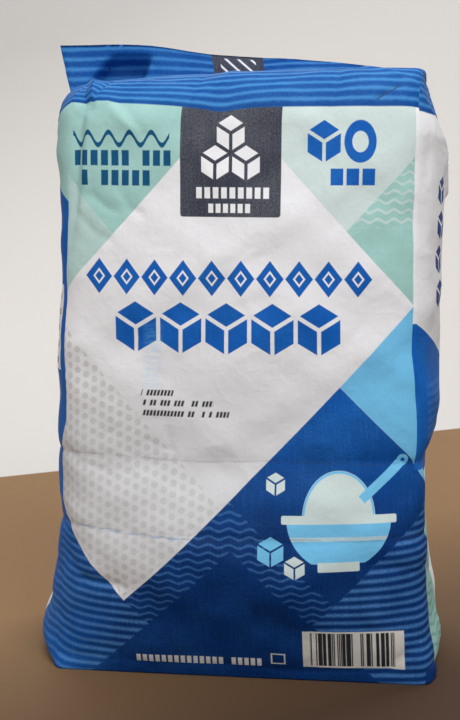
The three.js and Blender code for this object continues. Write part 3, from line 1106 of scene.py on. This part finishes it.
class InkSettings(bpy.types.PropertyGroup):
    """Colours of the print."""

    paper: colour_property("Paper", "White of the coated paper", 242, 239, 240)
    band: colour_property("Band", "Blue of the band over the top", 8, 74, 148)
    pale_stripe: colour_property("Pale stripe", "Stripes of the band", 68, 138, 200)
    field: colour_property("Blue field", "Dark blue of the lower fields", 12, 92, 178)
    # Painted shade of the blue field towards the foot
    shaded_field: colour_property("Deep field", "The same blue towards the foot", 2, 46, 106)
    field_line: colour_property("Field lines", "Lines and waves on the dark blue", 80, 134, 198)
    light_blue: colour_property("Light blue", "Light blue field and picture", 120, 196, 236)
    mint: colour_property("Mint", "Mint fields", 163, 203, 196)
    pale_mint: colour_property("Pale mint", "Pale mint field", 209, 222, 218)
    deep_mint: colour_property("Deep mint", "Waves on the side's mint", 128, 182, 165)
    dot: colour_property("Dots", "Grey dots on the white", 214, 214, 211)
    navy: colour_property("Navy", "Dark block", 58, 60, 74)
    navy_blue: colour_property("Side shapes", "Dark blue shapes on the sides", 38, 60, 130)
    lettering: colour_property("Shapes", "Blue rhombs and cubes", 12, 92, 180)
    teal: colour_property("Teal", "Dark marks on the mint", 12, 80, 118)
    label: colour_property("Label", "Ground under the bars", 214, 208, 200)
    black: colour_property("Black", "Bars and ticks", 42, 42, 46)


class StudioSettings(bpy.types.PropertyGroup):
    """Camera, light and floor."""

    azimuth: number_property("Azimuth", "How far to the right the camera stands", math.radians(6.5), **ANGLE)
    pitch: number_property("Pitch", "How steeply the camera looks down", math.radians(10.5), **ANGLE)
    away: number_property("Distance", "How far the camera stands", 0.70975, **LENGTH)
    lens: number_property("Lens", "Focal length", 70, subtype="DISTANCE_CAMERA", unit="CAMERA")
    key_power: number_property("Overhead light", "Power of the large light above", 8.3, **POWER)
    fill_power: number_property("Front light", "Power of the light in front", 5.4, **POWER)
    back_power: number_property("Back light", "Power of the light behind", 6, **POWER)
    wall_power: number_property("Wall light", "Power of the light on the wall behind", 24, **POWER)
    surround: number_property("Surround", "Strength of the light from all round", 0.4)
    floor_colour: colour_property("Wall", "Colour of the wall and the floor round the table", 215, 209, 204)
    table_colour: colour_property("Table", "Colour of the table top", 146, 110, 72)


# How far behind the bag the wall starts to rise, the radius it rises with and how high it is, in m
WALL_DISTANCE = 1.1
WALL_BEND = 0.9
WALL_HEIGHT = 4.0


# Pieces

# The prints of the panels, in the panels' order
PANEL_PRINTS = {
    "front_paper": front_print,
    "right_paper": right_print,
    "back_paper": back_print,
    "left_paper": left_print,
    "base_paper": base_print,
}
made_materials = {}


def materials_of(paper, inks):
    """The panels' materials and that of the paper's cut edges, made once."""
    if not made_materials:
        groups = {"fibre": fibre_group(), "stripes": stripes_group(), "waves": waves_group()}
        groups["fields"] = printed("colour fields", colour_fields, inks, groups)
        for name, draw in (*PANEL_PRINTS.items(), ("cut_paper", lambda art: None)):
            artwork = printed(name + " print", draw, inks, groups)
            made_materials[name] = paper_material(name, artwork, groups["fibre"], paper)
    return made_materials


def hand_over(piece, *nodes):
    """Fixes a finished piece to the bag's body."""
    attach(piece, "root")
    if nodes:
        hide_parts(*nodes)


class PieceOperator:
    """What the pieces' operators share."""

    bl_options = {"REGISTER", "UNDO"}

    def kept(self):
        """The paper's settings and the materials."""
        scene = bpy.context.scene
        return scene.bag_paper, materials_of(scene.bag_paper, scene.bag_inks)


class MakeBagPaper(PieceOperator, bpy.types.Operator):
    """The bag's printed paper: four creased panels, the folded top and the base, as one closed skin"""

    bl_idname = "sugar_bag.make_paper"
    bl_label = "Bag paper"

    def execute(self, context):
        paper, materials = self.kept()
        vertices, faces, places, panels = bag_mesh(paper)
        piece = new_piece("bag_paper", vertices, faces, places, panels)
        # The crumple dies out towards the foot, so that the bag stands flat
        give = piece.data.attributes.new("give", "FLOAT", "POINT")
        give.data.foreach_set("value", np.clip(vertices[:, 2] / 6, 0, 1).astype(np.float32))
        tree = crumple_tree([materials[name] for name in PANEL_PRINTS])
        crumple = piece.modifiers.new("crumple", "NODES")
        crumple.node_group = tree
        values = {"Depth": paper.crumple_depth, "Size": paper.crumple_size, "Seed": paper.seed}
        for item in tree.interface.items_tree:
            if item.name in values:
                crumple[item.identifier] = values[item.name]
        settle(piece)
        hand_over(piece, BAG)
        return {"FINISHED"}


def strip_piece(name, inner, outer, places, materials):
    """A closed strip of paper between two grids of points; its rim has the second material, if any."""
    rows, columns = inner.shape[:2]
    count = rows * columns
    number = np.arange(count).reshape(rows, columns)
    face = cells(number)
    rim = np.concatenate([number[0, :-1], number[:-1, -1], number[-1, :0:-1], number[:0:-1, 0]])
    after = np.roll(rim, -1)
    edge = np.stack([rim, rim + count, after + count, after], -1)
    faces = np.concatenate([face, face[:, ::-1] + count, edge])
    face_places = cells(places)
    flat = places.reshape(-1, 2)
    edge_places = np.stack([flat[rim], flat[rim], flat[after], flat[after]], 1)
    corner_places = np.concatenate([face_places, face_places[:, ::-1], edge_places])
    vertices = np.concatenate([outer.reshape(-1, 3), inner.reshape(-1, 3)])
    piece = new_piece(name, vertices, faces.tolist(), corner_places)
    for material in materials:
        piece.data.materials.append(material)
    if len(materials) > 1:
        on_rim = np.arange(len(faces)) >= len(faces) - len(edge)
        piece.data.polygons.foreach_set("material_index", on_rim.astype(np.int32))
    return piece


def patch_normals(points):
    """Normals of an open grid of points on a panel, facing out of the bag."""
    return unit(np.cross(np.gradient(points, axis=1), np.gradient(points, axis=0)))


def paper_patch(panel, ways, rows, lift, settings):
    """Points on the creased bag over part of one panel, lifted off it."""
    base = panel_grid(rows, panel, ways)
    girth, up = np.broadcast_arrays(PANEL_STARTS[panel] + PANEL_WIDTHS[panel] * ways, rows[:, None])
    out = paper_relief(girth, up, settings) + lift
    return fin_dents(base + patch_normals(base) * out[..., None], up)


def back_strip(name, ways, rows, outer_lift, inner_lift, paper, materials):
    """A strip of printed paper on the back, between two heights over the bag's own paper."""
    outer = paper_patch(BACK, ways, rows, outer_lift, paper)
    inner = paper_patch(BACK, ways, rows, inner_lift, paper)
    places = on_paper((ways - 0.5) * FRONT_PAPER, rows[:, None])
    hand_over(strip_piece(name, inner, outer, places, [materials["back_paper"], materials["cut_paper"]]))


class MakeBackSeam(PieceOperator, bpy.types.Operator):
    """The lap down the back where the paper's two edges are glued over each other"""

    bl_idname = "sugar_bag.make_seam"
    bl_label = "Back seam"

    def execute(self, context):
        rows = np.linspace(3, RIDGE_PAPER + 20, 190)
        ways = np.linspace(0.5, 0.62, 14)
        stand = np.full(len(ways), 0.55)
        stand[0] = 0.35
        wave = 0.12 * np.sin(rows / 9)[:, None]
        back_strip("back_seam", ways, rows, stand + wave, -0.3, *self.kept())
        return {"FINISHED"}


class MakeFinFold(PieceOperator, bpy.types.Operator):
    """The top hem: the closed top folded over to the back and glued down"""

    bl_idname = "sugar_bag.make_fin_fold"
    bl_label = "Top hem"

    def execute(self, context):
        rows = np.linspace(ROOF_PAPER + 3.5, FIN_PAPER - 0.3, 22)
        ways = np.linspace(0.012, 0.988, 150)
        sag = 0.25 * np.sin(ways * 31) + 0.2 * np.sin(ways * 83)
        lift = 0.95 + sag + np.linspace(0.35, 0, len(rows))[:, None]
        back_strip("top_hem", ways, rows, lift, lift - HEM_THICKNESS, *self.kept())
        return {"FINISHED"}


class MakeBase(PieceOperator, bpy.types.Operator):
    """The base's pasted flaps: two long ones that meet over two short ones"""

    bl_idname = "sugar_bag.make_base"
    bl_label = "Base flaps"

    def execute(self, context):
        _, materials = self.kept()
        for number, (side, low, reach) in enumerate(((1, 0.75, 0), (-1, 0.4, 6)), 1):
            outline = side * np.array([(-80, -44), (80, -44), (66, reach), (-66, reach)])
            self.flap("base_flap_%d" % number, outline, low, materials)
        for number, side in enumerate((1, -1), 1):
            outline = side * np.array([(-88, -38), (-40, -12), (-40, 12), (-88, 38)])
            self.flap("base_tuck_%d" % number, outline, 1.05, materials)
        return {"FINISHED"}

    def flap(self, name, outline, low, materials):
        """A flat flap of paper with four corners and its underside at low."""
        steps = np.linspace(0, 1, 24)
        across, deep = steps[None, :, None], steps[:, None, None]
        near_left, near_right, far_right, far_left = outline
        flat = mix(mix(near_left, near_right, across), mix(far_left, far_right, across), deep)
        waviness = 0.05 * np.sin(flat[..., 0] / 9) * np.sin(flat[..., 1] / 7)
        under = np.dstack([flat - MIDDLE[:2], low + waviness])
        over = under + (0, 0, FLAP_THICKNESS)
        hand_over(strip_piece(name, under, over, flat, [materials["base_paper"], materials["cut_paper"]]))


class MakeEar(PieceOperator, bpy.types.Operator):
    """The small folded ear of paper at the foot of the right front corner"""

    bl_idname = "sugar_bag.make_ear"
    bl_label = "Corner ear"

    def execute(self, context):
        _, materials = self.kept()
        rows = np.linspace(0.4, 8.5, 12)
        ways = np.linspace(0.0, 0.11, 14)
        base = panel_grid(rows, RIGHT, ways)
        normals = patch_normals(base)
        stand = 0.5 + 3.4 * (ways / ways[-1]) * (1 - (rows[:, None] - 0.4) / 8.1) ** 0.7
        outer = base + normals * stand[..., None]
        inner = outer - normals * EAR_THICKNESS
        for points in (outer, inner):
            points[..., 2] = np.maximum(points[..., 2], 0.1)
        places = on_paper(ways * 90, rows[:, None] + 16)
        hand_over(strip_piece("corner_ear", inner, outer, places, [materials["front_paper"]]))
        return {"FINISHED"}


class SetUpStudio(PieceOperator, bpy.types.Operator):
    """Brown table top on a pale floor that curves up into a wall, soft lights and the camera"""

    bl_idname = "sugar_bag.set_up_studio"
    bl_label = "Studio"

    def execute(self, context):
        scene = bpy.context.scene
        studio = scene.bag_studio
        self.floor(studio)
        self.camera(studio)
        self.area("overhead", (0.2, -0.62, 0.98), (0, 0, 0.2), (0.9, 0.55), studio.key_power)
        self.area("front", (-0.25, -1.9, 0.35), (0, 0, 0.15), (1.0, 0.8), studio.fill_power)
        self.area("behind", (-0.6, 1.25, 1.1), (0, 0, 0.12), (1.0, 0.8), studio.back_power)
        self.area("backdrop", (0.6, 0.7, 1.9), (-0.1, 2.0, 0.58), (2.5, 0.6), studio.wall_power)
        world = bpy.data.worlds.new("surround")
        world.use_nodes = True
        sky = world.node_tree.nodes["Background"]
        sky.inputs["Color"].default_value = (0.97, 0.985, 1, 1)
        sky.inputs["Strength"].default_value = studio.surround
        scene.world = world
        scene.view_settings.view_transform = "Standard"
        return {"FINISHED"}

    def floor(self, studio):
        """A floor that curves up into a wall, in m, with the table painted on it."""
        bend = np.linspace(0, np.pi / 2, 14)[1:]
        run = np.concatenate([np.linspace(-4, WALL_DISTANCE, 12), WALL_DISTANCE + WALL_BEND * np.sin(bend)])
        climb = np.concatenate([np.zeros(12), WALL_BEND * (1 - np.cos(bend))])
        run = np.append(run, WALL_DISTANCE + WALL_BEND)[:, None]
        climb = np.append(climb, WALL_HEIGHT)[:, None]
        points = np.dstack(np.broadcast_arrays(np.linspace(-4, 4, 9), run, climb))
        sweep = new_piece("studio_floor", points.reshape(-1, 3) * MM_IN_A_METRE, grid_faces(len(run), 9))
        material = bpy.data.materials.new("studio_paint")
        material.use_nodes = True
        place = add_node(material.node_tree, "ShaderNodeTexCoord").outputs["Object"]
        cloud = noise_field(place, 2.2)
        grain = noise_field(place, 90, stretch=(1, 0.3, 1), detail=3)
        x, y = (field * 100 for field in separate(place))
        table = ((42.6 + x * 0.572 - y) & rectangle(x, y, -80, 80, -110, 80)).cover(0.3)
        wall, brown = studio.floor_colour, studio.table_colour
        paint = tint(cloud, scaled(wall, 0.97), wall)
        board = tint((cloud + grain) * 0.5, scaled(brown, 0.86), brown)
        # The table lies in shade towards the viewer and the right
        shaded = [share * channel for share, channel in zip((0.21, 0.17, 0.13), brown)]
        board = tint((x * 0.95 - y + 1).cover(27), board, shaded)
        shader = material.node_tree.nodes["Principled BSDF"]
        feed(shader, {"Base Color": tint(table, paint, board), "Roughness": 0.85})
        sweep.data.materials.append(material)

    def camera(self, studio):
        camera = place_in_scene("camera", bpy.data.cameras.new("camera"))
        back = Vector((
            math.sin(studio.azimuth) * math.cos(studio.pitch),
            -math.cos(studio.azimuth) * math.cos(studio.pitch),
            math.sin(studio.pitch),
        ))
        target = Vector((-0.0073, 0.0088, 0.14774))
        camera.location = target + back * studio.away
        camera.rotation_euler = back.to_track_quat("Z", "Y").to_euler()
        camera.data.lens = studio.lens
        camera.data.clip_start = 0.05
        bpy.context.scene.camera = camera

    def area(self, name, place, target, size, power):
        light = bpy.data.lights.new(name, "AREA")
        light.shape = "RECTANGLE"
        light.size, light.size_y = size
        light.energy = power
        light.color = (0.95, 0.98, 1)
        lamp = place_in_scene(name, light)
        lamp.location = place
        lamp.visible_camera = False
        lamp.rotation_euler = (Vector(place) - Vector(target)).to_track_quat("Z", "Y").to_euler()


OPERATORS = (MakeBagPaper, MakeBackSeam, MakeFinFold, MakeBase, MakeEar, SetUpStudio)


class SugarBagPanel(bpy.types.Panel):
    """Lists the pieces and their settings."""

    bl_idname = "VIEW3D_PT_sugar_bag"
    bl_label = "Sugar bag"
    bl_space_type = "VIEW_3D"
    bl_region_type = "UI"
    bl_category = "Sugar bag"

    def draw(self, context):
        column = self.layout.column(align=True)
        for operator in OPERATORS:
            column.operator(operator.bl_idname)
        for group in (context.scene.bag_paper, context.scene.bag_inks, context.scene.bag_studio):
            box = self.layout.box()
            for name in group.bl_rna.properties.keys():
                if name not in {"rna_type", "name"}:
                    box.prop(group, name)


SETTINGS = (("bag_paper", PaperSettings), ("bag_inks", InkSettings), ("bag_studio", StudioSettings))


def register():
    for name, group in SETTINGS:
        bpy.utils.register_class(group)
        setattr(bpy.types.Scene, name, bpy.props.PointerProperty(type=group))
    for operator in OPERATORS:
        bpy.utils.register_class(operator)
    bpy.utils.register_class(SugarBagPanel)


def unregister():
    bpy.utils.unregister_class(SugarBagPanel)
    for operator in reversed(OPERATORS):
        bpy.utils.unregister_class(operator)
    for name, group in reversed(SETTINGS):
        delattr(bpy.types.Scene, name)
        bpy.utils.unregister_class(group)


def main():
    register()
    bpy.ops.sugar_bag.make_paper()
    bpy.ops.sugar_bag.make_seam()
    bpy.ops.sugar_bag.make_fin_fold()
    bpy.ops.sugar_bag.make_base()
    bpy.ops.sugar_bag.make_ear()
    bpy.ops.sugar_bag.set_up_studio()


if __name__ == "__main__":
    main()
